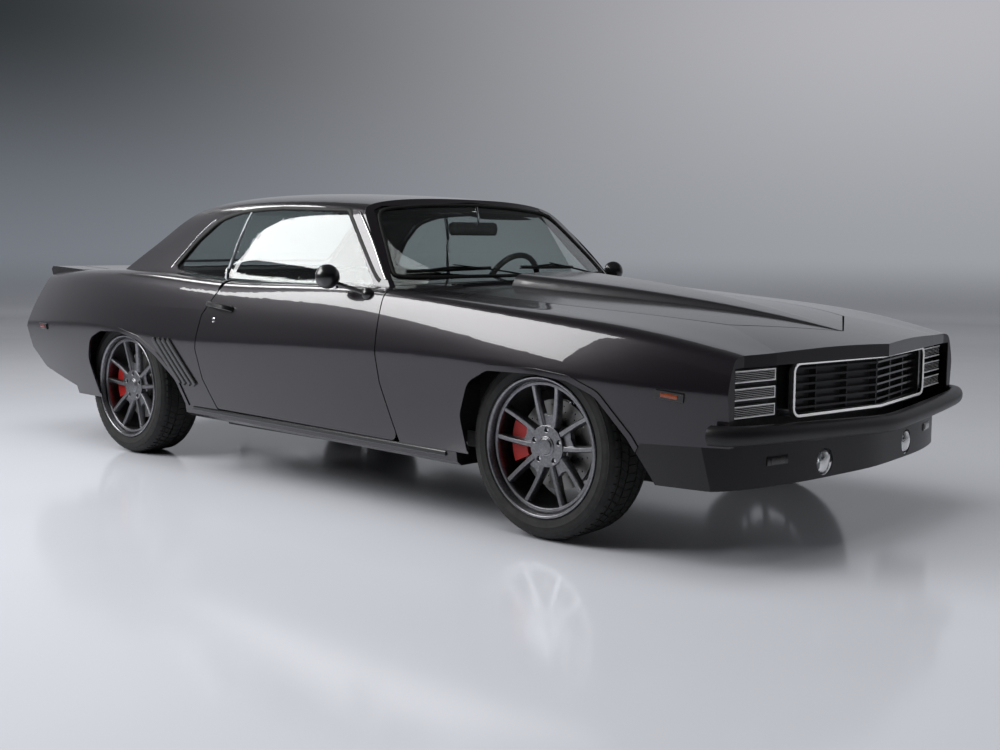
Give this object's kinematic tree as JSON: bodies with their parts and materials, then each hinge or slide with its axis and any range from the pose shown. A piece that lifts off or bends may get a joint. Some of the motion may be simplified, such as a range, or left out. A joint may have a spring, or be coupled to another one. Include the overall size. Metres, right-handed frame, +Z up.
{
  "type": "two-door muscle car",
  "caption": "Two-door hardtop muscle car with hidden headlamps, opening doors, hood and trunk lid, steered front wheels and free-rolling wheels.",
  "frame": {"origin": "on the floor under the middle of the car's length and width", "axes": "+X towards the front of the car, +Y to its left, +Z up"},
  "size_m": [4.7244, 1.9838, 1.2969],
  "materials": {
    "body_paint": "gloss",
    "bumper_paint": "gloss",
    "satin_black": "satin",
    "chassis_black": "satin",
    "ribbed_trim": "polished",
    "glass": "gloss",
    "clear_lens": "gloss",
    "red_lens": "gloss",
    "cast_engine": "satin",
    "axle_iron": "satin",
    "spring_steel": "satin",
    "pipe_steel": "satin",
    "tank_steel": "satin",
    "interior_plastic": "matte",
    "wheel_leather": "satin",
    "seat_leather": "satin",
    "mirror_housing": "gloss",
    "tyre": "matte",
    "wheel_alloy": "satin"
  },
  "bodies": {
    "shell": {"fender_right": "body_paint", "quarter_right": "body_paint", "fender_left": "body_paint", "quarter_left": "body_paint", "header_panel": "body_paint", "front_valance": "body_paint", "cowl": "body_paint", "roof": "body_paint", "tail_panel": "body_paint", "rear_shelf": "body_paint", "trunk_gutter": "chassis_black", "windscreen": "glass", "rear_window": "glass", "quarter_windows": "glass", "grille_panel": "satin_black", "grille": "satin_black", "headlamp_doors": "ribbed_trim", "front_bumper": "bumper_paint", "rear_bumper": "bumper_paint", "fog_lamps": "clear_lens", "tail_lamps": "red_lens", "floor_pan": "chassis_black", "rocker_panels": "body_paint", "front_frame": "chassis_black", "front_structure": "chassis_black", "control_arms": "chassis_black", "engine": "cast_engine", "rear_axle": "axle_iron", "leaf_springs": "spring_steel", "exhaust": "pipe_steel", "fuel_tank": "tank_steel", "dashboard": "interior_plastic", "steering_wheel": "wheel_leather", "front_seats": "seat_leather", "rear_seat": "seat_leather"},
    "hood": {"hood": "body_paint"},
    "decklid": {"decklid": "body_paint"},
    "door_right": {"door_right": "body_paint", "door_glass_right": "glass", "mirror_right": "mirror_housing"},
    "knuckle_right": {"knuckle_right": "axle_iron"},
    "wheel_front_right": {"tyre_front_right": "tyre", "wheel_front_right": "wheel_alloy"},
    "wheel_rear_right": {"tyre_rear_right": "tyre", "wheel_rear_right": "wheel_alloy"},
    "door_left": {"door_left": "body_paint", "door_glass_left": "glass", "mirror_left": "mirror_housing"},
    "knuckle_left": {"knuckle_left": "axle_iron"},
    "wheel_front_left": {"tyre_front_left": "tyre", "wheel_front_left": "wheel_alloy"},
    "wheel_rear_left": {"tyre_rear_left": "tyre", "wheel_rear_left": "wheel_alloy"}
  },
  "joints": [
    {"name": "hood_hinge", "type": "hinge", "parent": "shell", "child": "hood", "pos_m": [0.736, 0, 0.88], "axis": [0, -1, 0], "range_deg": [0, 50]},
    {"name": "decklid_hinge", "type": "hinge", "parent": "shell", "child": "decklid", "pos_m": [-1.62274, 0, 0.926], "axis": [0, 1, 0], "range_deg": [0, 70]},
    {"name": "door_right_hinge", "type": "hinge", "parent": "shell", "child": "door_right", "pos_m": [0.5805, -0.919, 0.56], "axis": [0, 0, 1], "range_deg": [0, 60]},
    {"name": "door_left_hinge", "type": "hinge", "parent": "shell", "child": "door_left", "pos_m": [0.5805, 0.919, 0.56], "axis": [0, 0, -1], "range_deg": [0, 60]},
    {"name": "steering_right", "type": "hinge", "parent": "shell", "child": "knuckle_right", "pos_m": [1.4225, -0.69, 0.338], "axis": [0, 0.1386, 0.9903], "range_deg": [-28, 28]},
    {"name": "steering_left", "type": "hinge", "parent": "shell", "child": "knuckle_left", "pos_m": [1.4225, 0.69, 0.338], "axis": [0, -0.1386, 0.9903], "range_deg": [-28, 28]},
    {"name": "wheel_front_right_spin", "type": "hinge", "parent": "knuckle_right", "child": "wheel_front_right", "pos_m": [1.4225, -0.752, 0.338], "axis": [0, 1, 0], "continuous": true},
    {"name": "wheel_rear_right_spin", "type": "hinge", "parent": "shell", "child": "wheel_rear_right", "pos_m": [-1.3205, -0.752, 0.338], "axis": [0, 1, 0], "continuous": true},
    {"name": "wheel_front_left_spin", "type": "hinge", "parent": "knuckle_left", "child": "wheel_front_left", "pos_m": [1.4225, 0.752, 0.338], "axis": [0, 1, 0], "continuous": true},
    {"name": "wheel_rear_left_spin", "type": "hinge", "parent": "shell", "child": "wheel_rear_left", "pos_m": [-1.3205, 0.752, 0.338], "axis": [0, 1, 0], "continuous": true}
  ],
  "couplings": [
    {"joint": "steering_left", "follows": "steering_right", "ratio": 1}
  ]
}
